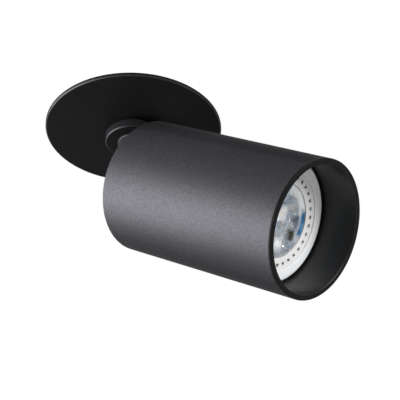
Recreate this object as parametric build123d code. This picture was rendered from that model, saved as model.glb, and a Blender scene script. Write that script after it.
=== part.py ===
from build123d import *
import math
import os

# A ceiling spotlight: a round plate clipped into a hole in the ceiling, a swivel and a tilting
# knuckle below it, and a tube that holds a twist-in reflector lamp behind a dark glare ring.
# Sizes are in millimetres and angles in degrees. +Z is up. The origin is the centre of the
# plate's back face, which lies against the ceiling. The head leans towards +X.

# Fits and stock
RUN_CLEAR = 0.05
SEAT_CLEAR = 0.1
FREE_GAP = 0.3
SHEET_T = 1.0

# Ceiling plate and the cup behind it
PLATE_D = 76.0
PLATE_T = 1.5
PLATE_BEVEL = 0.5
CUP_D = 48.0
CUP_H = 6.5
CUP_SEAT_DEPTH = 0.3
CUP_SEAT_GAP = 1.0
REAR_TURN = 30.0
STUD_D = 3.0
STUD_L = 5.0
STUD_INSET = 7.5
STUD_ANGLES = (225.0, 315.0)
STUD_NUT_AF = 5.5
STUD_NUT_H = 2.4

# Swivel: bush, collar, hollow spindle, washers, nut and the stop
NECK_D = 18.0
NECK_H = 2.6
BUSH_D = 14.0
COLLAR_D = 23.8
COLLAR_H = 3.7
COLLAR_BEVEL = 0.45
SPINDLE_D = 10.0
SPINDLE_BORE = 6.8
SPINDLE_GRIP = 6.0
SPINDLE_TOP_SPARE = 2.0
THRUST_D = 18.0
STOP_GAP = 0.4
STOP_TAB_W = 2.0
STOP_PEG_D = 2.0
STOP_PEG_H = 2.0
SPRING_WASHER_INSET = 0.5
SPRING_WASHER_T = 0.5
SPRING_WASHER_RISE = 0.8
LOCK_NUT_AF = 14.0
LOCK_NUT_H = 5.0

# Knuckle
HINGE_DROP = 26.5
REST_TILT = 58.4
STEM_D = 13.0
FORK_W = 12.4
FORK_H = 11.0
FORK_ROUND_D = 15.6
TONGUE_T = 5.0
TONGUE_R = 6.0
FRICTION_D = 11.0
FRICTION_T = 0.5
HINGE_D = 4.0
HINGE_HEAD_D = 7.0
HINGE_HEAD_H = 2.0
HINGE_NUT_AF = 7.0
HINGE_NUT_H = 3.2
HEX_KEY_AF = 2.5
LEAD_HOLE_D = 4.6
LEAD_SPARE = 0.5
BOSS_D = 16.0
SHANK_D = 8.0
SHANK_SPARE = 0.8
TONGUE_NUT_AF = 13.0
TONGUE_NUT_H = 4.0

# Spring clips
CLIP_INSET = 6.5
CLIP_DROOP = 20.0
CLIP_ARM_L = 20.0
CLIP_ARM_W = 9.0
CLIP_ARM_T = 0.8
CLIP_ARM_TIP_R = 3.0
CLIP_HEEL = 0.8
CLIP_CHEEK_R = 2.9
CLIP_CHEEK_REACH = 4.0
CLIP_PIN_D = 3.0
CLIP_PIN_HEAD_D = 4.4
CLIP_PIN_HEAD_H = 0.6
CLIP_EAR_W = 7.0
CLIP_EAR_GAP = 0.5
CLIP_SIDES = {"right": 0.0, "left": 180.0}
RIVET_D = 3.0
RIVET_HEAD_D = 5.0
RIVET_HEAD_H = 0.8
WIRE_D = 0.9
COIL_D = 4.6
COIL_PITCH = 1.4
COIL_TURNS = 3
COIL_STEP = 90.0
FIXED_LEG_L = 4.5
ARM_LEG_L = 9.0

# Supply terminals
TERMINAL_W = 16.0
TERMINAL_DEPTH = 7.0
TERMINAL_H = 10.0
TERMINAL_GAP = 0.9
TERMINAL_PEG_D = 2.0
POLE_COUNT = 3
POLE_SPACING = 5.0
POLE_Z = 4.0
CLAMP_D = 3.4
CLAMP_BORE = 2.4
CLAMP_L = 5.0
POLE_SCREW_D = 2.2
POLE_SCREW_SUNK = 0.8
EARTH_SCREW_D = 3.6
EARTH_HEAD_D = 6.4
EARTH_HEAD_H = 2.2
EARTH_INSET = 7.0
SCREW_SLOT_W = 0.8
SCREW_SLOT_DEPTH = 0.7

# Lamp
LAMP_D = 50.0
LAMP_L = 46.5
LAMP_RIM_H = 4.0
LAMP_RIM_EDGE = 1.1
BEZEL_D = 40.0
BEZEL_SUNK = 0.5
BEZEL_T = 2.1
VENT_COUNT = 32
VENT_PLACE = 17.6
VENT_W = 1.4
VENT_L = 1.3
LENS_D = 29.4
LENS_FLANGE_D = 33.0
LENS_FLANGE_T = 1.6
LENS_BOSS_D = 8.0
CELL_COUNT = 8
CELL_PLACE = 9.6
CELL_TURN = 16.0
CELL_D = 6.4
CELL_RISE = 0.6
CELL_TAIL_D = 3.6
CELL_TAIL_H = 4.8
BOARD_D = 38.8
BOARD_T = 1.6
EMITTER_D = 2.2
EMITTER_H = 0.8
EMITTER_BASE = 3.0
DRIVER_W = 15.0
DRIVER_T = 1.2
LAMP_BASE_D = 21.0
LAMP_BASE_H = 8.5
LAMP_SPIGOT_D = 17.6
LAMP_SPIGOT_H = 3.0
LAMP_WALL = 1.6
LAMP_LEDGE = 1.5
LAMP_SHOULDER_D = 45.0
LAMP_SHOULDER_H = 12.0
LAMP_WAIST_D = 34.0
LAMP_WAIST_H = 26.0
LAMP_NECK_D = 25.0
LAMP_NECK_H = 36.0
PIN_SPACING = 10.0
PIN_D = 3.0
PIN_HEAD_D = 5.0
PIN_HEAD_H = 3.1
PIN_L = 7.5
PIN_SUNK = 2.5
PIN_TURNS = (90.0, 270.0)
TWIST = 45.0

# Head
HEAD_GAP = 10.6
LAMP_GAP = 0.3
BAFFLE_WALL = 0.7
TUBE_WALL = 1.5
FLANGE_T = 1.0
LAMP_SETBACK = 16.2
BAFFLE_SHORT = 0.4
EDGE_BREAK = 0.2
TUBE_BACK_BREAK = 0.4
CAP_T = 3.0
CAP_SUNK = 0.5
GRUB_D = 3.0
GRUB_L = 4.0
GRUB_KEY_AF = 1.5
GRUB_ANGLES = (-25.0, 25.0)
GROMMET_D = 6.0
GROMMET_BORE = 3.2
GROMMET_LIP_D = 8.4
GROMMET_LIP_T = 1.0
GROMMET_PLACE = 16.0
HOLDER_D = 26.0
HOLDER_L = 14.3
HOLDER_FRONT_T = 2.5
HOLDER_CAVITY_DEPTH = 9.5
HOLDER_CORE_D = 4.0
HOLDER_CAVITY_D = 16.0
PIN_CLEAR = 0.3
HEAD_CLEAR = 0.4
CONTACT_T = 0.6
CONTACT_W = 3.0
CONTACT_GAP = 0.2
CONTACT_TAIL_D = 2.0
CONTACT_TAIL_OUT = 1.5
BRACKET_H = 7.5
BRACKET_W = 6.4
BRACKET_FOOT = 6.0
SCREW_D = 3.0
SCREW_HEAD_D = 5.2
SCREW_HEAD_H = 1.8
HOLDER_SCREW_PLACE = 10.8
HOLDER_SCREW_L = 7.0

# Heights on the ceiling side
cup_floor_low = -CUP_SEAT_DEPTH
cup_floor = cup_floor_low + SHEET_T
cup_top = cup_floor_low + CUP_H
plate_face = -PLATE_T
neck_face = plate_face - NECK_H
collar_face = neck_face - COLLAR_H
hinge_z = plate_face - HINGE_DROP
thrust_top = cup_floor + SHEET_T
spring_washer_top = thrust_top + SPRING_WASHER_T + SPRING_WASHER_RISE
lock_nut_top = spring_washer_top + LOCK_NUT_H
bush_bore = SPINDLE_D + 2 * RUN_CLEAR
stud_place = CUP_D / 2 - STUD_INSET
earth_place = CUP_D / 2 - EARTH_INSET
terminal_room = CUP_D / 2 - SHEET_T - TERMINAL_GAP
terminal_out = math.sqrt(terminal_room ** 2 - (TERMINAL_W / 2) ** 2)
terminal_middle = terminal_out - TERMINAL_DEPTH / 2
terminal_in = terminal_out - TERMINAL_DEPTH

# Places in the head, along its own axis: the hinge is at zero and the front is lowest
baffle_bore = LAMP_D + 2 * LAMP_GAP
tube_bore = baffle_bore + 2 * BAFFLE_WALL
tube_d = tube_bore + 2 * TUBE_WALL
tube_l = LAMP_SETBACK + LAMP_L + HOLDER_L + BRACKET_H + CAP_T + CAP_SUNK
tube_back = -HEAD_GAP
cap_out = tube_back - CAP_SUNK
cap_in = cap_out - CAP_T
holder_back = cap_in - BRACKET_H
lamp_back = holder_back - HOLDER_L
lamp_front = lamp_back - LAMP_L
front = tube_back - tube_l
flange_back = front + FLANGE_T
baffle_back = lamp_front - BAFFLE_SHORT
bracket_reach = HOLDER_SCREW_PLACE + SCREW_HEAD_D / 2 + FREE_GAP + SHEET_T

# Places in the lamp, measured back from its front rim
bezel_back = BEZEL_SUNK + BEZEL_T
flange_low = bezel_back + LENS_FLANGE_T
lens_face = BEZEL_SUNK + CELL_RISE
emitter_front = flange_low + CELL_TAIL_H + FREE_GAP
board_front = emitter_front + EMITTER_H
board_back = board_front + BOARD_T
base_front = LAMP_L - LAMP_BASE_H

# The spring clip, measured from its pivot
coil_r = COIL_D / 2
wire_r = WIRE_D / 2
arm_top = -(coil_r + wire_r + FREE_GAP)
arm_low = arm_top - CLIP_ARM_T
droop = math.radians(CLIP_DROOP)
rim_along = (CLIP_INSET - arm_low * math.sin(droop)) / math.cos(droop)
rim_drop = rim_along * math.sin(droop) - arm_low * math.cos(droop)
pivot_place = CUP_D / 2 - CLIP_INSET
pivot_z = cup_top + FREE_GAP + rim_drop
ear_in = CLIP_ARM_W / 2 + CLIP_EAR_GAP
ear_out = ear_in + SHEET_T
bracket_in = pivot_place - CLIP_EAR_W / 2 - SHEET_T

# The swivel's stop: a tab that passes inside the clip brackets and the terminals, and a peg in its way
stop_reach = min(bracket_in, terminal_in) - STOP_GAP
stop_place = max(stop_reach, THRUST_D / 2 + FREE_GAP + STOP_PEG_D) - STOP_PEG_D / 2

head = Pos(0, 0, hinge_z) * Rot(0, -REST_TILT, 0)
lamp = head * Pos(0, 0, lamp_front)
rear = Rot(0, 0, REAR_TURN)
parts = {}


def disc(diameter, low, high):
    return Pos(0, 0, (low + high) / 2) * Cylinder(diameter / 2, high - low)


def ring(outer, inner, low, high):
    return disc(outer, low, high) - disc(inner, low, high)


def block(x0, x1, y0, y1, z0, z1):
    return Pos((x0 + x1) / 2, (y0 + y1) / 2, (z0 + z1) / 2) * Box(x1 - x0, y1 - y0, z1 - z0)


def cross_bar(diameter, y0, y1):
    return Pos(0, (y0 + y1) / 2, 0) * Rot(90, 0, 0) * Cylinder(diameter / 2, y1 - y0)


def prism(across_flats, low, high):
    outline = RegularPolygon(across_flats / 2, 6, major_radius=False)
    return Pos(0, 0, low) * extrude(outline, high - low)


def nut(across_flats, bore, low, high):
    return prism(across_flats, low, high) - disc(bore, low, high)


def turned(*points):
    outline = Polyline(*[(r, 0, z) for r, z in points], close=True)
    return revolve(make_face(outline), Axis.Z)


def at_angle(place, angle):
    return Rot(0, 0, angle) * Pos(place, 0, 0)


def group(solids):
    return Compound(children=list(solids))


def screw_slot(reach, top):
    return block(-reach, reach, -SCREW_SLOT_W / 2, SCREW_SLOT_W / 2, top - SCREW_SLOT_DEPTH, top)


def ceiling_plate():
    body = disc(PLATE_D, plate_face, 0)
    body = chamfer(body.edges().group_by(Axis.Z)[0], PLATE_BEVEL)
    seat = disc(CUP_D + 2 * CUP_SEAT_GAP, cup_floor_low, 0)
    return body - seat - disc(BUSH_D, plate_face, 0)


def recess_cup():
    body = disc(CUP_D, cup_floor_low, cup_top) - disc(CUP_D - 2 * SHEET_T, cup_floor, cup_top)
    body -= disc(BUSH_D, cup_floor_low, cup_floor)
    for angle in STUD_ANGLES:
        body -= rear * at_angle(stud_place, angle) * disc(STUD_D, cup_floor_low, cup_floor)
    for side in CLIP_SIDES.values():
        body -= rear * at_angle(pivot_place, side) * disc(RIVET_D, cup_floor_low, cup_floor)
    body -= rear * Pos(0, -earth_place, 0) * disc(EARTH_SCREW_D, cup_floor_low, cup_floor)
    for place in terminal_peg_places():
        body -= place * disc(TERMINAL_PEG_D, cup_floor_low, cup_floor)
    peg = at_angle(stop_place, 180) * disc(STOP_PEG_D, cup_floor_low, cup_floor)
    return body - peg


def weld_studs():
    stud = disc(STUD_D, cup_floor_low, cup_floor_low + STUD_L)
    return group(rear * at_angle(stud_place, a) * stud for a in STUD_ANGLES)


def stud_nuts():
    one = nut(STUD_NUT_AF, STUD_D, cup_floor, cup_floor + STUD_NUT_H)
    return group(rear * at_angle(stud_place, a) * one for a in STUD_ANGLES)


def swivel_bush():
    return ring(NECK_D, bush_bore, neck_face, plate_face) + ring(BUSH_D, bush_bore, plate_face, cup_floor)


def stop_peg():
    return at_angle(stop_place, 180) * disc(STOP_PEG_D, cup_floor_low, cup_floor + STOP_PEG_H)


def swivel_collar():
    outer = COLLAR_D / 2
    inner = SPINDLE_D / 2
    return turned(
        (inner, neck_face),
        (outer, neck_face),
        (outer, collar_face + COLLAR_BEVEL),
        (outer - COLLAR_BEVEL, collar_face),
        (inner, collar_face),
    )


def spindle():
    return ring(SPINDLE_D, SPINDLE_BORE, collar_face - SPINDLE_GRIP, lock_nut_top + SPINDLE_TOP_SPARE)


def thrust_washer():
    tab = block(SPINDLE_D / 2, stop_reach, -STOP_TAB_W / 2, STOP_TAB_W / 2, cup_floor, thrust_top)
    return disc(THRUST_D, cup_floor, thrust_top) + tab - disc(SPINDLE_D, cup_floor, thrust_top)


def spring_washer():
    inner = SPINDLE_D / 2 + SEAT_CLEAR
    outer = THRUST_D / 2 - SPRING_WASHER_INSET
    return turned(
        (inner, spring_washer_top),
        (inner, spring_washer_top - SPRING_WASHER_T),
        (outer, thrust_top),
        (outer, thrust_top + SPRING_WASHER_T),
    )


def lock_nut():
    return nut(LOCK_NUT_AF, SPINDLE_D, spring_washer_top, lock_nut_top)


def fork_slot_half():
    return TONGUE_T / 2 + FRICTION_T


def knuckle_fork():
    half = FORK_W / 2
    stem = disc(STEM_D, hinge_z + FORK_H, collar_face)
    jaw = block(-half, half, -half, half, hinge_z, hinge_z + FORK_H)
    jaw += Pos(0, 0, hinge_z) * cross_bar(FORK_W, -half, half)
    body = stem + (jaw & disc(FORK_ROUND_D, hinge_z - half, hinge_z + FORK_H))
    slot = fork_slot_half()
    slot_floor = hinge_z + TONGUE_R + 2 * FREE_GAP
    body -= block(-FORK_W, FORK_W, -slot, slot, hinge_z - FORK_W, slot_floor)
    body -= Pos(0, 0, hinge_z) * cross_bar(HINGE_D, -FORK_W, FORK_W)
    lead_top = collar_face - SPINDLE_GRIP
    body -= disc(SPINDLE_D, lead_top, collar_face)
    lead_low = lead_top - LEAD_HOLE_D - 2 * LEAD_SPARE
    body -= disc(SPINDLE_BORE, lead_low, lead_top)
    return body - Pos(0, 0, (lead_low + lead_top) / 2) * cross_bar(LEAD_HOLE_D, 0, FORK_W)


def hinge_screw():
    half = FORK_W / 2
    shank = cross_bar(HINGE_D, -half - HINGE_NUT_H, half)
    cap = cross_bar(HINGE_HEAD_D, half, half + HINGE_HEAD_H)
    key = Rot(-90, 0, 0) * prism(HEX_KEY_AF, half + HINGE_HEAD_H / 2, half + HINGE_HEAD_H)
    return Pos(0, 0, hinge_z) * (shank + cap - key)


def hinge_nut():
    half = FORK_W / 2
    return Pos(0, 0, hinge_z) * Rot(90, 0, 0) * nut(HINGE_NUT_AF, HINGE_D, half, half + HINGE_NUT_H)


def friction_washers():
    one = ring(FRICTION_D, HINGE_D, TONGUE_T / 2, fork_slot_half())
    return group(Pos(0, 0, hinge_z) * Rot(turn, 0, 0) * one for turn in (90, -90))


def knuckle_tongue():
    half = TONGUE_T / 2
    boss_top = -(FORK_W / 2 + 2 * FREE_GAP)
    body = cross_bar(2 * TONGUE_R, -half, half)
    body += block(-TONGUE_R, TONGUE_R, -half, half, boss_top, 0)
    body += block(-TONGUE_R, 0, -half, half, 0, TONGUE_R + FREE_GAP)
    body += disc(BOSS_D, cap_out, boss_top)
    body += disc(SHANK_D, cap_in - TONGUE_NUT_H - SHANK_SPARE, cap_out)
    return head * (body - cross_bar(HINGE_D + 2 * RUN_CLEAR, -half, half))


def tongue_nut():
    return head * nut(TONGUE_NUT_AF, SHANK_D, cap_in - TONGUE_NUT_H, cap_in)


def foot_place():
    return bracket_reach + BRACKET_FOOT / 2


def grub_places():
    middle = (cap_out + cap_in) / 2
    return [Rot(0, 0, a) * Pos(tube_d / 2, 0, middle) * Rot(0, -90, 0) for a in GRUB_ANGLES]


def back_cap():
    body = disc(tube_bore, cap_in, cap_out) - disc(SHANK_D, cap_in, cap_out)
    body -= Pos(0, GROMMET_PLACE, 0) * disc(GROMMET_D, cap_in, cap_out)
    for x in (-foot_place(), foot_place()):
        body -= Pos(x, 0, 0) * disc(SCREW_D, cap_in, cap_out)
    for place in grub_places():
        body -= place * disc(GRUB_D, 0, GRUB_L)
    return head * body


def cap_grub_screws():
    key_depth = GRUB_L / 2
    screw = disc(GRUB_D, FREE_GAP, GRUB_L) - prism(GRUB_KEY_AF, FREE_GAP, key_depth)
    return group(head * place * screw for place in grub_places())


def cap_grommet():
    body = disc(GROMMET_D, cap_in, cap_out)
    body += disc(GROMMET_LIP_D, cap_out, cap_out + GROMMET_LIP_T)
    body += disc(GROMMET_LIP_D, cap_in - GROMMET_LIP_T, cap_in)
    body -= disc(GROMMET_BORE, cap_in - GROMMET_LIP_T, cap_out + GROMMET_LIP_T)
    return head * Pos(0, GROMMET_PLACE, 0) * body


def body_tube():
    body = ring(tube_d, tube_bore, flange_back, tube_back)
    rim = body.edges().filter_by(GeomType.CIRCLE).group_by(Axis.Z)[-1].sort_by(SortBy.RADIUS)[-1]
    body = chamfer(rim, TUBE_BACK_BREAK)
    for place in grub_places():
        body -= place * disc(GRUB_D, -TUBE_WALL, GRUB_L)
    return head * body


def glare_baffle():
    inner = baffle_bore / 2
    outer = tube_d / 2
    sleeve = tube_bore / 2
    return head * turned(
        (inner + EDGE_BREAK, front),
        (outer - EDGE_BREAK, front),
        (outer, front + EDGE_BREAK),
        (outer, flange_back),
        (sleeve, flange_back),
        (sleeve, baffle_back),
        (inner, baffle_back),
        (inner, front + EDGE_BREAK),
    )


def holder_bracket():
    half = BRACKET_W / 2
    body = block(-bracket_reach, bracket_reach, -half, half, holder_back, holder_back + SHEET_T)
    for end in (-1, 1):
        outer = sorted((end * bracket_reach, end * (bracket_reach - SHEET_T)))
        foot = sorted((end * (bracket_reach - SHEET_T), end * (bracket_reach + BRACKET_FOOT)))
        body += block(*outer, -half, half, holder_back, cap_in)
        body += block(*foot, -half, half, cap_in - SHEET_T, cap_in)
        body -= Pos(end * foot_place(), 0, 0) * disc(SCREW_D, cap_in - SHEET_T, cap_in)
        body -= Pos(end * HOLDER_SCREW_PLACE, 0, 0) * disc(SCREW_D, holder_back, holder_back + SHEET_T)
    return head * body


def pan_screw(length):
    screw = disc(SCREW_D, -length, 0) + disc(SCREW_HEAD_D, 0, SCREW_HEAD_H)
    return screw - screw_slot(SCREW_HEAD_D / 2, SCREW_HEAD_H)


def bracket_screws():
    screw = Rot(180, 0, 0) * pan_screw(SHEET_T + CAP_T)
    return group(head * Pos(x, 0, cap_in - SHEET_T) * screw for x in (-foot_place(), foot_place()))


def holder_screws():
    screw = pan_screw(SHEET_T + HOLDER_SCREW_L)
    ends = (-HOLDER_SCREW_PLACE, HOLDER_SCREW_PLACE)
    return group(head * Pos(x, 0, holder_back + SHEET_T) * screw for x in ends)


def sector(outer, inner, start, end, low, high):
    near = inner / 2
    far = outer / 2
    section = Polyline((near, 0, low), (far, 0, low), (far, 0, high), (near, 0, high), close=True)
    return Rot(0, 0, start) * revolve(make_face(section), Axis.Z, end - start)


def twist_slot(low, high):
    width = PIN_D + 2 * PIN_CLEAR
    slot = sector(PIN_SPACING + width, PIN_SPACING - width, -TWIST, 0, low, high)
    slot += at_angle(PIN_SPACING / 2, 0) * disc(width, low, high)
    return slot + at_angle(PIN_SPACING / 2, -TWIST) * disc(PIN_HEAD_D + 2 * HEAD_CLEAR, low, high)


def contact_tail(low, high):
    return at_angle(PIN_SPACING / 2, -TWIST / 2) * disc(CONTACT_TAIL_D, low, high)


def lampholder():
    body = disc(HOLDER_D, lamp_back, holder_back)
    cavity_low = lamp_back + HOLDER_FRONT_T
    cavity_top = lamp_back + HOLDER_CAVITY_DEPTH
    body -= ring(HOLDER_CAVITY_D, HOLDER_CORE_D, cavity_low, cavity_top)
    for turn in PIN_TURNS:
        body -= Rot(0, 0, turn) * twist_slot(lamp_back, cavity_low)
        body -= Rot(0, 0, turn) * contact_tail(cavity_top, holder_back)
    for x in (-HOLDER_SCREW_PLACE, HOLDER_SCREW_PLACE):
        body -= Pos(x, 0, 0) * disc(SCREW_D, holder_back - HOLDER_SCREW_L, holder_back)
    return head * body


def holder_contacts():
    low = lamp_back + PIN_L + CONTACT_GAP
    leaf = sector(PIN_SPACING + CONTACT_W, PIN_SPACING - CONTACT_W, -TWIST, 0, low, low + CONTACT_T)
    leaf += contact_tail(low, holder_back + CONTACT_TAIL_OUT)
    return group(head * Rot(0, 0, turn) * leaf for turn in PIN_TURNS)


def clip_frame(side):
    return rear * at_angle(pivot_place, side) * Pos(0, 0, pivot_z)


def clip_brackets():
    floor = cup_floor - pivot_z
    half = CLIP_EAR_W / 2
    back = -half - SHEET_T
    body = block(back, half, -ear_out, ear_out, floor, floor + SHEET_T)
    body += block(back, -half, -ear_out, ear_out, floor, arm_top)
    for y0, y1 in ((-ear_out, -ear_in), (ear_in, ear_out)):
        body += block(-half, half, y0, y1, floor, 0) + cross_bar(CLIP_EAR_W, y0, y1)
    body -= cross_bar(CLIP_PIN_D, -ear_out, ear_out)
    body -= disc(RIVET_D, floor, floor + SHEET_T)
    return group(clip_frame(side) * body for side in CLIP_SIDES.values())


def bracket_rivets():
    seat = cup_floor + SHEET_T
    rivet = disc(RIVET_D, cup_floor_low, seat) + disc(RIVET_HEAD_D, seat, seat + RIVET_HEAD_H)
    return group(rear * at_angle(pivot_place, side) * rivet for side in CLIP_SIDES.values())


def clip_pins():
    pin = cross_bar(CLIP_PIN_D, -ear_out, ear_out)
    pin += cross_bar(CLIP_PIN_HEAD_D, -ear_out - CLIP_PIN_HEAD_H, -ear_out)
    pin += cross_bar(CLIP_PIN_HEAD_D, ear_out, ear_out + CLIP_PIN_HEAD_H)
    return group(clip_frame(side) * pin for side in CLIP_SIDES.values())


def clip_arm(side):
    half = CLIP_ARM_W / 2
    body = block(CLIP_HEEL, CLIP_ARM_L, -half, half, arm_low, arm_top)
    body = fillet(body.edges().filter_by(Axis.Z).group_by(Axis.X)[-1], CLIP_ARM_TIP_R)
    for y0, y1 in ((-half, CLIP_ARM_T - half), (half - CLIP_ARM_T, half)):
        cheek = cross_bar(2 * CLIP_CHEEK_R, y0, y1) + block(CLIP_HEEL, CLIP_CHEEK_REACH, y0, y1, arm_low, 0)
        body += cheek - cross_bar(CLIP_PIN_D + 2 * RUN_CLEAR, y0, y1)
    return clip_frame(side) * Rot(0, CLIP_DROOP, 0) * body


def biarc(start, leave, end, arrive):
    # Two arcs that leave start along one direction and reach end along another
    chord = end - start
    bend = 2 * (1 - leave.dot(arrive))
    along = chord.dot(leave + arrive)
    reach = (math.sqrt(along * along + bend * chord.dot(chord)) - along) / bend
    joint = (start + end + (leave - arrive) * reach) / 2
    turn = end - arrive * reach - start - leave * reach
    return [TangentArc(start, joint, tangent=leave), TangentArc(joint, end, tangent=turn)]


def coil_path():
    # The fixed leg, the turns round the clip's pin, and the leg that lies on the drooping arm
    sweep_angle = 360 * COIL_TURNS - CLIP_DROOP
    steps = math.ceil(sweep_angle / COIL_STEP)
    length = COIL_PITCH * sweep_angle / 360
    rise = COIL_PITCH / math.tau
    points = []
    for step in range(steps + 1):
        share = step / steps
        angle = math.radians(sweep_angle * share - 90)
        place = Vector(coil_r * math.cos(angle), length * (share - 0.5), coil_r * math.sin(angle))
        way = Vector(-coil_r * math.sin(angle), rise, coil_r * math.cos(angle)).normalized()
        points.append((place, way))
    first, first_way = points[0]
    last, last_way = points[-1]
    edges = [Line(first - first_way * FIXED_LEG_L, first)]
    for (start, leave), (end, arrive) in zip(points, points[1:]):
        edges += biarc(start, leave, end, arrive)
    edges.append(Line(last, last + last_way * ARM_LEG_L))
    return Wire(edges)


def coil_gap(path):
    # Least room between turns: points more than half a turn apart along the wire
    samples = math.ceil(path.length / wire_r)
    points = [path @ (i / samples) for i in range(samples + 1)]
    apart = math.ceil(math.pi * coil_r / (path.length / samples))
    pairs = ((a, b) for i, a in enumerate(points) for b in points[i + apart:])
    return min((a - b).length for a, b in pairs) - WIRE_D


def clip_spring(side):
    path = coil_path()
    section = Plane(origin=path @ 0, z_dir=path % 0) * Circle(wire_r)
    print("clip spring: least gap between turns", round(coil_gap(path), 3), "mm")
    return clip_frame(side) * sweep(section, path=path)


def terminal_frame():
    return rear * Pos(0, terminal_middle, cup_floor)


def terminal_peg_places():
    return [rear * Pos(x, terminal_middle, 0) for x in (-TERMINAL_W / 4, TERMINAL_W / 4)]


def pole_places():
    first = -POLE_SPACING * (POLE_COUNT - 1) / 2
    return [Pos(first + i * POLE_SPACING, 0, POLE_Z) for i in range(POLE_COUNT)]


def terminal_block():
    half = TERMINAL_DEPTH / 2
    body = block(-TERMINAL_W / 2, TERMINAL_W / 2, -half, half, 0, TERMINAL_H)
    for place in pole_places():
        body -= place * cross_bar(CLAMP_D, -half, half)
        body -= place * disc(POLE_SCREW_D, 0, TERMINAL_H - POLE_Z)
    body = terminal_frame() * body
    for place in terminal_peg_places():
        body += place * disc(TERMINAL_PEG_D, cup_floor_low, cup_floor)
    return body


def terminal_clamps():
    half = CLAMP_L / 2
    clamp = cross_bar(CLAMP_D, -half, half) - cross_bar(CLAMP_BORE, -half, half)
    clamp -= disc(POLE_SCREW_D, 0, CLAMP_D)
    return group(terminal_frame() * place * clamp for place in pole_places())


def terminal_screws():
    top = TERMINAL_H - POLE_Z - POLE_SCREW_SUNK
    screw = disc(POLE_SCREW_D, CLAMP_BORE / 2, top) - screw_slot(POLE_SCREW_D / 2, top)
    return group(terminal_frame() * place * screw for place in pole_places())


def earth_screw():
    top = cup_floor + EARTH_HEAD_H
    body = disc(EARTH_SCREW_D, cup_floor_low, cup_floor) + disc(EARTH_HEAD_D, cup_floor, top)
    for turn in (0, 90):
        body -= Rot(0, 0, turn) * screw_slot(EARTH_SCREW_D / 2, top)
    return rear * Pos(0, -earth_place, 0) * body


def lamp_housing():
    board_seat = BOARD_D / 2 + SEAT_CLEAR
    return lamp * turned(
        (BEZEL_D / 2, 0),
        (LAMP_D / 2 - LAMP_RIM_EDGE, 0),
        (LAMP_D / 2, LAMP_RIM_EDGE),
        (LAMP_D / 2, LAMP_RIM_H),
        (LAMP_SHOULDER_D / 2, LAMP_SHOULDER_H),
        (LAMP_WAIST_D / 2, LAMP_WAIST_H),
        (LAMP_NECK_D / 2, LAMP_NECK_H),
        (LAMP_BASE_D / 2, base_front),
        (LAMP_SPIGOT_D / 2 + SEAT_CLEAR, base_front),
        (LAMP_NECK_D / 2 - LAMP_WALL, LAMP_NECK_H),
        (LAMP_WAIST_D / 2 - LAMP_WALL, LAMP_WAIST_H),
        (board_seat - LAMP_LEDGE, board_back),
        (board_seat, board_back),
        (board_seat, bezel_back),
        (BEZEL_D / 2, bezel_back),
    )


def lamp_bezel():
    body = ring(BEZEL_D - 2 * SEAT_CLEAR, LENS_D + 2 * SEAT_CLEAR, BEZEL_SUNK, bezel_back)
    near = VENT_PLACE - VENT_L / 2
    vent = block(near, near + VENT_L, -VENT_W / 2, VENT_W / 2, BEZEL_SUNK, bezel_back)
    for i in range(VENT_COUNT):
        body -= Rot(0, 0, i * 360 / VENT_COUNT) * vent
    return lamp * body


def cell_places():
    return [at_angle(CELL_PLACE, CELL_TURN + i * 360 / CELL_COUNT) for i in range(CELL_COUNT)]


def lens_dome(diameter):
    curve = (diameter * diameter / 4 + CELL_RISE * CELL_RISE) / (2 * CELL_RISE)
    return disc(diameter, BEZEL_SUNK, lens_face) & (Pos(0, 0, BEZEL_SUNK + curve) * Sphere(curve))


def lamp_lens():
    tail_z = flange_low + CELL_TAIL_H
    body = disc(LENS_D, lens_face, bezel_back) + disc(LENS_FLANGE_D, bezel_back, flange_low)
    body += lens_dome(LENS_BOSS_D)
    tail = turned((0, flange_low), (CELL_D / 2, flange_low), (CELL_TAIL_D / 2, tail_z), (0, tail_z))
    for place in cell_places():
        body += place * lens_dome(CELL_D)
        body += place * tail
    return lamp * body


def led_board():
    return lamp * disc(BOARD_D, board_front, board_back)


def led_emitters():
    half = EMITTER_BASE / 2
    step = (emitter_front + board_front) / 2
    emitter = block(-half, half, -half, half, step, board_front) + disc(EMITTER_D, emitter_front, step)
    return group(lamp * place * emitter for place in cell_places())


def driver_board():
    top = base_front - LAMP_SPIGOT_H
    return lamp * block(-DRIVER_W / 2, DRIVER_W / 2, -DRIVER_T / 2, DRIVER_T / 2, board_back, top)


def lamp_base():
    body = disc(LAMP_BASE_D, base_front, LAMP_L)
    body += disc(LAMP_SPIGOT_D, base_front - LAMP_SPIGOT_H, base_front)
    for turn in PIN_TURNS:
        body -= at_angle(PIN_SPACING / 2, turn) * disc(PIN_D, LAMP_L - PIN_SUNK, LAMP_L)
    return lamp * body


def lamp_pins():
    top = LAMP_L + PIN_L
    pin = disc(PIN_D, LAMP_L - PIN_SUNK, top) + disc(PIN_HEAD_D, top - PIN_HEAD_H, top)
    return group(lamp * at_angle(PIN_SPACING / 2, turn) * pin for turn in PIN_TURNS)


ceiling_side = (
    ceiling_plate, recess_cup, weld_studs, stud_nuts, swivel_bush, stop_peg, clip_brackets, bracket_rivets,
    clip_pins, terminal_block, terminal_clamps, terminal_screws, earth_screw,
)
swivel_side = (
    swivel_collar, spindle, thrust_washer, spring_washer, lock_nut, knuckle_fork, hinge_screw, hinge_nut,
    friction_washers,
)
head_side = (
    knuckle_tongue, tongue_nut, back_cap, cap_grub_screws, cap_grommet, body_tube, glare_baffle,
    holder_bracket, bracket_screws, lampholder, holder_contacts, holder_screws,
)
lamp_side = (
    lamp_housing, lamp_bezel, lamp_lens, led_board, led_emitters, driver_board, lamp_base, lamp_pins,
)
for make in ceiling_side + swivel_side + head_side + lamp_side:
    parts[make.__name__] = make()
for name, side in CLIP_SIDES.items():
    parts["clip_arm_" + name] = clip_arm(side)
    parts["clip_spring_" + name] = clip_spring(side)

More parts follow.
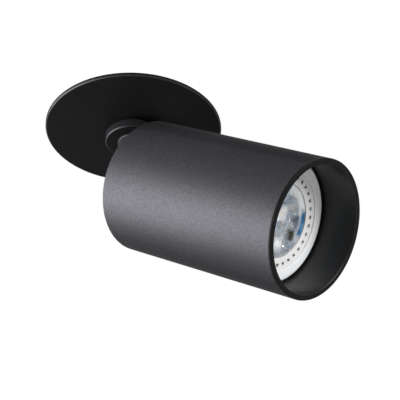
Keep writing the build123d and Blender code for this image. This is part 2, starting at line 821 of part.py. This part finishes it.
os.makedirs("parts", exist_ok=True)
for name, shape in parts.items():
    export_step(shape, "parts/" + name + ".step")
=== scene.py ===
import math
import bmesh
import bpy
from mathutils import Matrix, Vector


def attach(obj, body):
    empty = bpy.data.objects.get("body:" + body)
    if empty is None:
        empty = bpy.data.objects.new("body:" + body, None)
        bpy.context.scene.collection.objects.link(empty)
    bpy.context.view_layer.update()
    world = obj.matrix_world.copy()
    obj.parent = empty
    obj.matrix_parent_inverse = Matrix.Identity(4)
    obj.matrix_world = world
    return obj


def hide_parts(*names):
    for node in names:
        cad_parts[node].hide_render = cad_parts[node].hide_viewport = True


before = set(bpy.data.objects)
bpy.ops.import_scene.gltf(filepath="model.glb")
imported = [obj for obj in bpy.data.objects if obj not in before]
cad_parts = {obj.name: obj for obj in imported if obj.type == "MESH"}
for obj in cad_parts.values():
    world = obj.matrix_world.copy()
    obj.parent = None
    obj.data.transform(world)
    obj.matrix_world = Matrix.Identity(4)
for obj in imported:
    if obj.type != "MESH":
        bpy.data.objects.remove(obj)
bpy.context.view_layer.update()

# Ceiling plate: a round blank of 1.5 mm steel sheet, its front edge bevelled on the lathe and the
# whole sprayed matte black. Studs welded to its back hold the cup, and the cup's clips hold it up.
mm = 0.001
plate_radius = 38.0
plate_front = -1.5
plate_bevel = 0.5
plate_hole = 7.0
cup_seat_radius = 25.0
cup_seat = -0.3


class Wire:
    # One value in a finish's nodes; sums, differences and products of wires add their own nodes
    def __init__(self, tree, socket=None):
        self.tree = tree
        self.socket = socket

    def node(self, kind, links, out=0, **settings):
        made = self.tree.nodes.new(kind)
        for name, value in settings.items():
            setattr(made, name, value)
        for name, value in links.items():
            if isinstance(value, Wire):
                self.tree.links.new(value.socket, made.inputs[name])
            else:
                made.inputs[name].default_value = value
        return Wire(self.tree, made.outputs[out])

    def maths(self, operation, first, second):
        return self.node("ShaderNodeMath", {0: first, 1: second}, operation=operation)

    def __add__(self, other):
        return self.maths("ADD", self, other)

    def __radd__(self, other):
        return self.maths("ADD", other, self)

    def __sub__(self, other):
        return self.maths("SUBTRACT", self, other)

    def __rsub__(self, other):
        return self.maths("SUBTRACT", other, self)

    def __mul__(self, other):
        return self.maths("MULTIPLY", self, other)

    def __rmul__(self, other):
        return self.maths("MULTIPLY", other, self)


def new_finish(name, **uniform):
    # A material, a wire on the piece's own coordinates, and the shader that the finish feeds
    made = bpy.data.materials.new(name)
    made.use_nodes = True
    shader = made.node_tree.nodes["Principled BSDF"]
    for socket, value in uniform.items():
        shader.inputs[socket.replace("_", " ").title().replace("Ior", "IOR")].default_value = value
    at = Wire(made.node_tree).node("ShaderNodeTexCoord", {}, out="Object")
    return made, at, shader


def grain(at, size, detail=2.0, rough=0.55):
    # Cloudy noise whose lumps are about the given size in millimetres
    links = {"Vector": at, "Scale": 1.0 / (size * mm), "Detail": detail, "Roughness": rough}
    return at.node("ShaderNodeTexNoise", links)


def outwards(at):
    # Distance from the Z axis
    flat = at.node("ShaderNodeVectorMath", {0: at, 1: (1.0, 1.0, 0.0)}, operation="MULTIPLY")
    return flat.node("ShaderNodeVectorMath", {0: flat}, out="Value", operation="LENGTH")


def upwards(at):
    # Height along the Z axis
    return at.node("ShaderNodeSeparateXYZ", {"Vector": at}, out="Z")


def rising(value, low, high):
    # A share that goes from 0 to 1 as the value goes from the lower number to the higher
    return value.node("ShaderNodeMapRange", {"Value": value, "From Min": low, "From Max": high})


def blend(share, first, second):
    # A colour between two, by a share from 0 to 1; the Mix node's colour sockets go by number
    shades = [shade if isinstance(shade, Wire) else (*shade, 1.0) for shade in (first, second)]
    links = {0: share, 6: shades[0], 7: shades[1]}
    return share.node("ShaderNodeMix", links, out=2, data_type="RGBA")


def feed(shader, colour, rough, height=None, strength=0.1, depth=0.05, metal=None, coat=None):
    # Joins what varies over the surface to the shader, with the height as a bump of some millimetres
    links = shader.id_data.links
    varied = {"Base Color": colour, "Roughness": rough, "Metallic": metal, "Coat Weight": coat}
    for socket, value in varied.items():
        if value is not None:
            links.new(value.socket, shader.inputs[socket])
    if height is not None:
        bump = {"Strength": strength, "Distance": depth * mm, "Height": height}
        links.new(height.node("ShaderNodeBump", bump).socket, shader.inputs["Normal"])


def eased(shape, soft, segments):
    # Rounds every hard edge by the given width in millimetres
    if soft:
        hard_angle = math.radians(28)
        hard = [edge for edge in shape.edges if edge.is_manifold and edge.calc_face_angle() > hard_angle]
        bmesh.ops.bevel(shape, geom=hard, offset=soft * mm, offset_type="OFFSET", affect="EDGES",
                        segments=segments, profile=0.5, material=-1, clamp_overlap=True)
    return shape


def turned(outline, soft):
    # A lathe piece: corners as radius and height in millimetres, spun about Z, its edges eased
    shape = bmesh.new()
    loop = [shape.verts.new((radius * mm, 0.0, height * mm)) for radius, height in outline]
    rim = [shape.edges.new(pair) for pair in zip(loop, loop[1:] + loop[:1])]
    bmesh.ops.spin(shape, geom=loop + rim, cent=(0, 0, 0), axis=(0, 0, 1), angle=math.tau,
                   steps=256, use_merge=True)
    bmesh.ops.remove_doubles(shape, verts=shape.verts, dist=1e-7)
    bmesh.ops.dissolve_degenerate(shape, edges=shape.edges, dist=1e-8)
    bmesh.ops.recalc_face_normals(shape, faces=shape.faces)
    return eased(shape, soft, segments=3)


def piece(name, shape, finish, body, node):
    # Makes the shape a piece of the light that stands for its drawn node and moves with its body
    mesh = bpy.data.meshes.new(name)
    shape.to_mesh(mesh)
    shape.free()
    mesh.shade_smooth()
    mesh.set_sharp_from_angle(angle=math.radians(40))
    made = bpy.data.objects.new(name, mesh)
    bpy.context.scene.collection.objects.link(made)
    mesh.materials.append(finish)
    made.modifiers.new("even_shading", "WEIGHTED_NORMAL").keep_sharp = True
    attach(made, body)
    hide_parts(node)


plate_black = (0.0037, 0.0037, 0.0043)
plate_bloom = (0.0058, 0.0058, 0.0064)
plate_rubbed_highlight = (0.03, 0.03, 0.032)
paint, at, shader = new_finish("matte_black_paint", specular_ior_level=0.03)
haze = grain(at, 14.0, detail=3.0)
bevel_radius = plate_radius - plate_bevel
bevel_top = plate_front + plate_bevel
# The lighter, metallic ring on the front bevel is edge wear and also a painted highlight: it stands in for
# the bright line that light puts along the bevel.
on_rim = rising(outwards(at), (bevel_radius - 0.1) * mm, (bevel_radius + 0.05) * mm)
near_front = 1.0 - rising(upwards(at), (bevel_top - 0.1) * mm, (bevel_top + 0.05) * mm)
wear_and_highlight = on_rim * near_front * (0.6 + 0.4 * grain(at, 5.0))
feed(shader, blend(wear_and_highlight, blend(haze, plate_black, plate_bloom), plate_rubbed_highlight),
     0.42 + 0.16 * haze - 0.1 * wear_and_highlight, grain(at, 0.5), strength=0.12, metal=wear_and_highlight)
plate_outline = ((plate_hole, plate_front), (bevel_radius, plate_front), (plate_radius, bevel_top),
                 (plate_radius, 0.0), (cup_seat_radius, 0.0), (cup_seat_radius, cup_seat),
                 (plate_hole, cup_seat))
piece("ceiling_plate_sprayed", turned(plate_outline, soft=0.08), paint, "base",
      "ceiling_plate")

# Cup and its fixings: a drawn steel cup that goes into the ceiling hole, held to the plate's welded
# studs by nuts, with riveted clip brackets, cross pins, an earth screw and a swivel stop. All of it
# is zinc plated.


def dressed(node, soft):
    # The drawn node's own mesh, merged, with its flat faces joined up and its edges eased
    shape = bmesh.new()
    shape.from_mesh(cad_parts[node].data)
    bmesh.ops.remove_doubles(shape, verts=shape.verts, dist=1e-7)
    bmesh.ops.dissolve_limit(shape, angle_limit=math.radians(0.2), verts=shape.verts, edges=shape.edges)
    return eased(shape, soft, segments=2)


zinc_grey = (0.33, 0.34, 0.36)
zinc_straw = (0.5, 0.495, 0.47)
plating, at, shader = new_finish("zinc_plating", metallic=1.0)
cloud = grain(at, 5.0, detail=4.0)
feed(shader, blend(cloud, zinc_grey, zinc_straw), 0.38 + 0.2 * cloud, grain(at, 0.3), strength=0.12)
piece("recess_cup_drawn", dressed("recess_cup", 0.12), plating, "base", "recess_cup")
for node, soft in (("weld_studs", 0.2), ("stud_nuts", 0.25), ("clip_brackets", 0.12),
                   ("bracket_rivets", 0.3), ("clip_pins", 0.2), ("earth_screw", 0.15), ("stop_peg", 0.2)):
    piece(node + "_plated", dressed(node, soft), plating, "base", node)

# Spring clips: two arms pressed from spring steel strip, each with a coil spring round its pin. They
# fold up to pass the ceiling hole and spring back over the board.
steel_dull = (0.3, 0.3, 0.32)
steel_bright = (0.42, 0.41, 0.4)
strip, at, shader = new_finish("spring_steel", metallic=1.0)
temper = grain(at, 7.0, detail=4.0)
feed(shader, blend(temper, steel_dull, steel_bright), 0.24 + 0.16 * temper, grain(at, 0.25), strength=0.06)
for hand in ("left", "right"):
    arm = "clip_arm_" + hand
    spring = "clip_spring_" + hand
    piece(arm + "_pressed", dressed(arm, 0.12), strip, "clip_" + hand, arm)
    piece(spring + "_wound", dressed(spring, 0.0), strip, "base", spring)

# Terminal block: a moulded nylon block pegged into the cup, with a brass clamp and a plated screw for
# each of the supply's conductors.
nylon_dull = (0.72, 0.72, 0.69)
nylon_white = (0.8, 0.8, 0.77)
nylon, at, shader = new_finish("white_nylon", specular_ior_level=0.4)
mould = grain(at, 3.0, detail=3.0)
feed(shader, blend(mould, nylon_dull, nylon_white), 0.42 + 0.12 * mould, grain(at, 0.2), strength=0.1)
piece("terminal_block_moulded", dressed("terminal_block", 0.3), nylon, "base",
      "terminal_block")
brass_brown = (0.62, 0.42, 0.16)
brass_yellow = (0.78, 0.58, 0.26)
brass, at, shader = new_finish("bare_brass", metallic=1.0)
tarnish = grain(at, 2.0, detail=4.0)
feed(shader, blend(tarnish, brass_brown, brass_yellow), 0.24 + 0.2 * tarnish, grain(at, 0.2), strength=0.05)
piece("terminal_clamps_turned", dressed("terminal_clamps", 0.1), brass, "base",
      "terminal_clamps")
piece("terminal_screws_plated", dressed("terminal_screws", 0.05), plating, "base",
      "terminal_screws")

# Swivel: a black nylon bush in the plate's middle, and under it a turned collar, painted satin black,
# on a hollow steel spindle. A thrust washer, a spring washer and a lock nut inside the cup hold it up.
bush_black = (0.004, 0.004, 0.0045)
bush_bloom = (0.008, 0.008, 0.0085)
bush_nylon, at, shader = new_finish("black_nylon", specular_ior_level=0.1)
mould = grain(at, 2.0, detail=3.0)
feed(shader, blend(mould, bush_black, bush_bloom), 0.45 + 0.15 * mould, grain(at, 0.25), strength=0.1)
piece("swivel_bush_moulded", dressed("swivel_bush", 0.15), bush_nylon, "base", "swivel_bush")
collar_radius = 11.9
collar_top = -4.1
collar_front = -7.8
collar_bevel = 0.45
collar_hole = 5.0
collar_black = (0.003, 0.003, 0.0035)
collar_bloom = (0.005, 0.005, 0.0055)
collar_painted_sheen = (0.01, 0.01, 0.011)
collar_rubbed_highlight = (0.022, 0.022, 0.024)
satin, at, shader = new_finish("satin_black_paint", specular_ior_level=0.035)
haze = grain(at, 6.0, detail=3.0)
bevel_radius = collar_radius - collar_bevel
bevel_top = collar_front + collar_bevel
# The collar's side is painted a lighter black as painted sheen, standing in for the soft light the key lamp
# puts on it. The lighter, metallic ring on the front bevel is edge wear and also a painted highlight.
painted_sheen_side = rising(outwards(at), (collar_radius - 0.1) * mm, collar_radius * mm)
on_rim = rising(outwards(at), (bevel_radius - 0.1) * mm, (bevel_radius + 0.05) * mm)
wear_and_highlight = on_rim * (1.0 - rising(upwards(at), (bevel_top - 0.05) * mm, (bevel_top + 0.25) * mm))
sprayed_and_sheen = blend(painted_sheen_side, blend(haze, collar_black, collar_bloom), collar_painted_sheen)
feed(shader, blend(wear_and_highlight, sprayed_and_sheen, collar_rubbed_highlight), 0.4 + 0.12 * haze, grain(at, 0.4), strength=0.1, metal=wear_and_highlight)
collar_outline = ((collar_hole, collar_top), (collar_radius, collar_top), (collar_radius, bevel_top),
                  (bevel_radius, collar_front), (collar_hole, collar_front))
piece("swivel_collar_turned", turned(collar_outline, soft=0.1), satin, "swivel",
      "swivel_collar")
for node, soft, finish, slot in (("spindle", 0.3, plating, "plated_steel"),
                                 ("thrust_washer", 0.1, plating, "plated_steel"),
                                 ("spring_washer", 0.08, strip, "spring_steel"),
                                 ("lock_nut", 0.5, plating, "plated_steel")):
    piece(node + "_turned", dressed(node, soft), finish, "swivel", node)

# Knuckle: a cast zinc fork under the collar and a cast tongue on the head, both coated dark, pinched
# between friction washers by a black screw and nut.
fork_shoulder = -8.6
casting_black = (0.012, 0.012, 0.0135)
casting_grey = (0.022, 0.0215, 0.024)
casting_painted_highlight = (0.13, 0.13, 0.135)
casting, at, shader = new_finish("dark_casting", specular_ior_level=0.3)
pits = grain(at, 0.6, detail=3.0)
# The top of the fork's stem, just under the collar, is a lighter and more metallic band: a painted highlight
# for the light its top edge catches.
painted_highlight_band = rising(upwards(at), (fork_shoulder - 0.1) * mm, (fork_shoulder + 0.1) * mm)
feed(shader, blend(painted_highlight_band, blend(pits, casting_black, casting_grey), casting_painted_highlight),
     0.36 + 0.14 * pits, pits, strength=0.25, metal=0.2 + 0.6 * painted_highlight_band)
oxide_black = (0.03, 0.03, 0.032)
oxide_grey = (0.055, 0.055, 0.058)
oxide, at, shader = new_finish("black_oxide", metallic=0.8)
film = grain(at, 1.5, detail=3.0)
feed(shader, blend(film, oxide_black, oxide_grey), 0.3 + 0.15 * film, grain(at, 0.2), strength=0.06)
piece("knuckle_fork_cast", dressed("knuckle_fork", 0.25), casting, "swivel", "knuckle_fork")
piece("knuckle_tongue_cast", dressed("knuckle_tongue", 0.12), casting, "head",
      "knuckle_tongue")
piece("hinge_screw_black", dressed("hinge_screw", 0.15), oxide, "swivel", "hinge_screw")
piece("hinge_nut_black", dressed("hinge_nut", 0.2), oxide, "swivel", "hinge_nut")
piece("friction_washers_cut", dressed("friction_washers", 0.06), bush_nylon, "swivel",
      "friction_washers")
piece("tongue_nut_plated", dressed("tongue_nut", 0.25), plating, "head", "tongue_nut")

# Back cap: a turned aluminium disc in the tube's back end, powder coated in fine-textured graphite like
# the tube, held by black grub screws and fitted with a rubber grommet for the lead.
graphite_dark = (0.0275, 0.0269, 0.0298)
graphite_light = (0.0495, 0.0485, 0.0535)
coat, at, shader = new_finish("graphite_powder_coat", metallic=0.85, specular_ior_level=0.2,
                              specular_tint=(0.25, 0.25, 0.25, 1.0))
sand = grain(at, 0.42, rough=0.6)
cells = at.node("ShaderNodeTexVoronoi", {"Vector": at, "Scale": 1.0 / (0.38 * mm)}, out="Color")
fleck = cells.node("ShaderNodeSeparateColor", {"Color": cells})
feed(shader, blend(0.35 * sand + 0.65 * fleck, graphite_dark, graphite_light), 0.5 + 0.12 * sand, sand,
     strength=0.25)
rubber_black = (0.012, 0.012, 0.012)
rubber_bloom = (0.02, 0.02, 0.02)
rubber, at, shader = new_finish("black_rubber", specular_ior_level=0.2)
bloom = grain(at, 1.5, detail=3.0)
feed(shader, blend(bloom, rubber_black, rubber_bloom), 0.6 + 0.15 * bloom, grain(at, 0.2), strength=0.1)
piece("back_cap_turned", dressed("back_cap", 0.0), coat, "head", "back_cap")
piece("cap_grub_screws_black", dressed("cap_grub_screws", 0.1), oxide, "head",
      "cap_grub_screws")
piece("cap_grommet_moulded", dressed("cap_grommet", 0.2), rubber, "head", "cap_grommet")

# Body tube: aluminium tube cut to length, its back edge broken, powder coated with the cap. The cap is
# screwed into its back and the glare ring is pressed into its front.
piece("body_tube_coated", dressed("body_tube", 0.12), coat, "head", "body_tube")

# Glare ring: a thin aluminium sleeve with a flange, turned in one piece, sprayed matte black and pressed
# into the tube's mouth until the flange meets the tube's end. Its heights are below the hinge,
# along the head's axis.
hinge_drop = 28.0
head_tilt = 58.4
ring_bore = 25.3
sleeve_radius = 26.0
flange_radius = 27.5
sleeve_back = -82.8
flange_back = -97.6
ring_front = -98.6
ring_chamfer = 0.2
head = (Matrix.Translation((0, 0, -hinge_drop * mm))
        @ Matrix.Rotation(math.radians(-head_tilt), 4, "Y"))


def head_frame(at):
    # Coordinates of the head's own: Z runs back along the tube from the hinge
    links = {"Vector": at, "Location": head.to_translation(), "Rotation": head.to_euler()}
    return at.node("ShaderNodeMapping", links, vector_type="TEXTURE")


ring_black = (0.0032, 0.0032, 0.0036)
ring_bloom = (0.0052, 0.0052, 0.0056)
matt, at, shader = new_finish("matte_black_coat", specular_ior_level=0.05, coat_roughness=0.3)
soot = grain(at, 9.0, detail=3.0)
bore = 1.0 - rising(outwards(head_frame(at)), (ring_bore + 0.05) * mm, (ring_bore + 0.2) * mm)
feed(shader, blend(soot, ring_black, ring_bloom), 0.44 + 0.12 * soot, grain(at, 0.4), strength=0.15,
     coat=0.6 * bore)
ring_outline = ((ring_bore, sleeve_back), (ring_bore, ring_front + ring_chamfer),
                (ring_bore + ring_chamfer, ring_front), (flange_radius - ring_chamfer, ring_front),
                (flange_radius, ring_front + ring_chamfer), (flange_radius, flange_back),
                (sleeve_radius, flange_back), (sleeve_radius, sleeve_back))
shape = turned(ring_outline, soft=0.06)
bmesh.ops.transform(shape, matrix=head, verts=shape.verts)
piece("glare_baffle_sprayed", shape, matt, "head", "glare_baffle")

# Lampholder: a steatite disc with two twist slots and brass contacts, screwed to a plated bracket that
# hangs from the back cap.
steatite_buff = (0.74, 0.71, 0.64)
steatite_cream = (0.82, 0.8, 0.74)
clay, at, shader = new_finish("steatite", specular_ior_level=0.35)
speck = grain(at, 0.8, detail=4.0)
feed(shader, blend(speck, steatite_buff, steatite_cream), 0.55 + 0.15 * speck, speck, strength=0.1)
piece("lampholder_pressed", dressed("lampholder", 0.3), clay, "head", "lampholder")
piece("holder_contacts_stamped", dressed("holder_contacts", 0.06), brass, "head",
      "holder_contacts")
for node in ("holder_bracket", "bracket_screws", "holder_screws"):
    piece(node + "_plated", dressed(node, 0.12), plating, "head", node)

# Lamp housing: the white moulded reflector body and base of the lamp, with a vented ring clipped into
# its rim. The vents' walls are painted dark below their mouths as painted shade.
lamp_shade = (0.7, 0.715, 0.73)
lamp_white = (0.8, 0.81, 0.82)
white, at, shader = new_finish("satin_white", specular_ior_level=0.4)
mould = grain(at, 1.2, detail=4.0, rough=0.7)
feed(shader, blend(mould, lamp_shade, lamp_white), 0.34 + 0.12 * mould, grain(at, 0.3), strength=0.06)
piece("lamp_housing_moulded", dressed("lamp_housing", 0.2), white, "lamp", "lamp_housing")
piece("lamp_base_moulded", dressed("lamp_base", 0.3), white, "lamp", "lamp_base")
vent_mouth = -81.5
vent_floor = -80.6
vented_shade = (0.62, 0.615, 0.605)
vented_white = (0.76, 0.755, 0.745)
vent_painted_shade = (0.12, 0.115, 0.11)
vented, at, shader = new_finish("vented_white", specular_ior_level=0.3)
mould = grain(at, 0.9, detail=4.0, rough=0.7)
# Deeper than the vents' mouths the ring turns dark grey: painted shade inside the vents.
painted_shade_depth = rising(upwards(head_frame(at)), vent_mouth * mm, vent_floor * mm)
feed(shader, blend(painted_shade_depth, blend(mould, vented_shade, vented_white), vent_painted_shade), 0.4 + 0.12 * mould,
     grain(at, 0.3), strength=0.06)
piece("lamp_bezel_moulded", dressed("lamp_bezel", 0.1), vented, "lamp", "lamp_bezel")

# Lens: clear moulded plastic with small domes, set inside the vented ring over the emitters. Its finish is
# tinted in patches: a blue strip, a slate and an olive spot, and a beige patch near its middle. A diffuse
# white mixed in along part of its rim and in one spot is a painted reflection of the lamps.
lens_face = -81.2


def rightwards(at):
    # Distance along the X axis
    return at.node("ShaderNodeSeparateXYZ", {"Vector": at}, out="X")


def on_lamp(radius, turn, height):
    # A place given round the lamp's axis: its radius and height in millimetres and its turn in degrees
    angle = math.radians(turn)
    return radius * mm * math.sin(angle), radius * mm * math.cos(angle), height * mm


def patch(at, ragged, place, inner, outer):
    # A share that is 1 near a place and falls to 0 between two distances, with a ragged edge
    away = at.node("ShaderNodeVectorMath", {0: at, 1: place}, out="Value", operation="DISTANCE")
    return 1.0 - rising(away + ragged, inner * mm, outer * mm)


lens_clear = (1.0, 1.0, 1.0)
lens_tinted = (0.46, 0.6, 0.74)
azure_deep = (0.05, 0.3, 0.74)
azure_pale = (0.34, 0.74, 0.96)
slate_grey = (0.04, 0.06, 0.11)
olive_brown = (0.06, 0.048, 0.025)
reflection_white = (0.82, 0.83, 0.84)
milk_beige = (0.62, 0.57, 0.54)
clear, at, shader = new_finish("clear_lens", transmission_weight=0.74, ior=1.49)
local = head_frame(at)
flow = grain(at, 4.0, detail=3.0, rough=0.7)
ragged = (grain(at, 3.2, detail=3.0, rough=0.7) - 0.5) * (5.0 * mm)
pebble = at.node("ShaderNodeTexVoronoi", {"Vector": at, "Scale": 1.0 / (4.8 * mm)}, out="Distance")
azure = patch(local, ragged, on_lamp(13.8, 24.0, lens_face + 0.2), 4.0, 6.5)
azure = rising(outwards(local), 12.0 * mm, 12.9 * mm) * azure
slate = patch(local, ragged, on_lamp(8.0, 30.0, lens_face), 1.2, 2.7)
olive = patch(local, ragged, on_lamp(9.0, -9.5, lens_face), 1.6, 3.6)
tint = blend(rising(flow, 0.36, 0.62), lens_tinted, lens_clear)
tint = blend(azure, tint, blend(rising(flow, 0.4, 0.62), azure_deep, azure_pale))
tint = blend(slate, tint, slate_grey)
tint = blend(olive, tint, olive_brown)
feed(shader, tint, 0.04 + 0.06 * flow + 0.4 * olive + 0.3 * slate, pebble * pebble, strength=1.0, depth=1.5)
# Painted reflection: a diffuse white shader mixed in along part of the rim and in one spot, standing in for
# the lamps' reflection in the lens. The beige patch near the middle goes into the same mix.
painted_reflection_and_beige = rising(outwards(local) + ragged, 10.4 * mm, 13.4 * mm) * rising(rightwards(local), -4.0 * mm, 9.0 * mm)
painted_reflection_and_beige = painted_reflection_and_beige * (1.0 - azure)
painted_reflection_and_beige = painted_reflection_and_beige + (1.0 - painted_reflection_and_beige) * patch(local, ragged, on_lamp(9.4, -62.0, lens_face), 1.4, 3.6)
beige = patch(local, ragged, on_lamp(2.4, 124.0, lens_face), 2.0, 4.0)
painted_reflection_and_beige = painted_reflection_and_beige + (1.0 - painted_reflection_and_beige) * 0.7 * beige
reflection_and_beige_shader = at.node("ShaderNodeBsdfPrincipled", {"Base Color": blend(beige, reflection_white, milk_beige),
                                             "Roughness": 0.35, "Specular IOR Level": 0.4})
glassy = Wire(shader.id_data, shader.outputs[0])
mixed = at.node("ShaderNodeMixShader", {0: painted_reflection_and_beige * (0.45 + 0.6 * flow), 1: glassy, 2: reflection_and_beige_shader})
shader.id_data.links.new(mixed.socket, shader.id_data.nodes["Material Output"].inputs["Surface"])
piece("lamp_lens_moulded", dressed("lamp_lens", 0.0), clear, "lamp", "lamp_lens")

# Lamp's inside: a metal board with one emitter under each dome, a driver board behind it, and the two
# nickelled brass pins in the base that the holder takes.
mask_shade = (0.84, 0.86, 0.88)
mask_white = (0.9, 0.91, 0.92)
mask, at, shader = new_finish("board_mask", specular_ior_level=0.4)
weave = grain(at, 1.0, detail=3.0)
feed(shader, blend(weave, mask_shade, mask_white), 0.4 + 0.1 * weave, weave, strength=0.04)
piece("led_board_masked", dressed("led_board", 0.15), mask, "lamp", "led_board")
phosphor_deep = (0.42, 0.28, 0.07)
phosphor_light = (0.55, 0.38, 0.12)
phosphor, at, shader = new_finish("phosphor", specular_ior_level=0.4)
gel = grain(at, 0.4, detail=3.0)
feed(shader, blend(gel, phosphor_deep, phosphor_light), 0.3 + 0.1 * gel, gel, strength=0.05)
piece("led_emitters_cast", dressed("led_emitters", 0.1), phosphor, "lamp", "led_emitters")
laminate_dark = (0.01, 0.07, 0.03)
laminate_green = (0.03, 0.16, 0.07)
laminate, at, shader = new_finish("circuit_laminate", specular_ior_level=0.45)
tracks = at.node("ShaderNodeTexVoronoi", {"Vector": at, "Scale": 1.0 / (1.6 * mm)}, distance="MANHATTAN")
feed(shader, blend(tracks, laminate_dark, laminate_green), 0.3 + 0.2 * tracks, tracks, strength=0.1)
piece("driver_board_etched", dressed("driver_board", 0.08), laminate, "lamp",
      "driver_board")
nickel_dull = (0.55, 0.52, 0.46)
nickel_bright = (0.68, 0.65, 0.59)
nickel, at, shader = new_finish("nickel_plating", metallic=1.0)
cloud = grain(at, 1.5, detail=3.0)
feed(shader, blend(cloud, nickel_dull, nickel_bright), 0.2 + 0.15 * cloud, grain(at, 0.2), strength=0.04)
piece("lamp_pins_plated", dressed("lamp_pins", 0.15), nickel, "lamp", "lamp_pins")

# Studio: a pale floor well below the light and a white surround, both brightened only for the rays by
# which the camera, reflections and glass see them, so that the background is white at a plain light.
floor_half_width = 4.0
floor_height = -0.8
floor_shade = (0.78, 0.78, 0.78)
floor_pale = (0.82, 0.82, 0.82)
shape = bmesh.new()
bmesh.ops.create_grid(shape, x_segments=1, y_segments=1, size=floor_half_width)
bmesh.ops.translate(shape, verts=shape.verts, vec=(0, 0, floor_height))
floor_mesh = bpy.data.meshes.new("floor")
shape.to_mesh(floor_mesh)
shape.free()
floor = bpy.data.objects.new("floor", floor_mesh)
bpy.context.scene.collection.objects.link(floor)


def seen_in(tree):
    # 1 for the rays by which the camera, a reflection or a glass sees the studio, and 0 for the rest
    rays = [Wire(tree).node("ShaderNodeLightPath", {}, out=name)
            for name in ("Is Camera Ray", "Is Glossy Ray", "Is Transmission Ray")]
    total = rays[0] + rays[1] + rays[2]
    return total.maths("MINIMUM", total, 1.0)


pale, at, shader = new_finish("pale_floor", specular_ior_level=0.1, emission_strength=0.42)
screed = grain(at, 300.0)
feed(shader, blend(screed, floor_shade, floor_pale), 0.5 + 0.1 * screed)
shown = blend(seen_in(pale.node_tree), (0.0, 0.0, 0.0), (1.0, 1.0, 1.0))
pale.node_tree.links.new(shown.socket, shader.inputs["Emission Color"])
floor_mesh.materials.append(pale)
ambient = 0.22
world = bpy.data.worlds.new("white_surround")
bpy.context.scene.world = world
world.use_nodes = True
sky = world.node_tree.nodes["Background"]
strength = ambient + (1.0 - ambient) * seen_in(world.node_tree)
world.node_tree.links.new(strength.socket, sky.inputs["Strength"])
sky.inputs["Color"].default_value = (1.0, 1.0, 1.0, 1.0)

# Lamps: a broad key lamp to the camera's left, a square one facing the mouth, a small one near the head's
# axis that lights the lamp's face, and a weak one over the cup. Sizes are in metres and powers in watts.


def soft_lamp(name, place, aim, width, height, power):
    # A rectangular soft lamp that faces the given point
    lamp = bpy.data.lights.new(name, "AREA")
    lamp.shape = "RECTANGLE"
    lamp.size = width
    lamp.size_y = height
    lamp.energy = power
    made = bpy.data.objects.new(name, lamp)
    made.location = place
    made.rotation_euler = (Vector(aim) - Vector(place)).to_track_quat("-Z", "Y").to_euler()
    bpy.context.scene.collection.objects.link(made)


head_middle = (0.03, 0.0, -0.055)
cup_middle = (0.0, 0.0, 0.0)
soft_lamp("key_lamp", (-0.24, -0.205, -0.13), head_middle, width=0.4, height=0.26, power=4.9)
soft_lamp("front_lamp", (1.03, -0.2, 0.05), head_middle, width=0.55, height=0.55, power=11.4)
soft_lamp("fill_lamp", (0.75, 0.16, -0.5), head_middle, width=0.1, height=0.1, power=0.85)
soft_lamp("top_lamp", (-0.08, -0.03, 0.12), cup_middle, width=0.09, height=0.09, power=0.09)

# Camera: below and to the side of the light, looking up at it as the photograph does. Its place is in
# metres, and its back points from the light to the camera.
camera_place = (0.2656, -0.4043, -0.3673)
camera_data = bpy.data.cameras.new("camera")
camera_data.sensor_width = 36.0
camera_data.lens = 125.77
camera = bpy.data.objects.new("camera", camera_data)
back = Vector((0.4115, -0.716, -0.564)).normalized()
right = Vector((0.8675, 0.497, 0.0))
right = (right - back * right.dot(back)).normalized()
up = back.cross(right)
turn = Matrix((right, up, back)).transposed().to_4x4()
camera.matrix_world = Matrix.Translation(camera_place) @ turn
bpy.context.scene.collection.objects.link(camera)
bpy.context.scene.camera = camera
bpy.context.scene.view_settings.view_transform = "Standard"
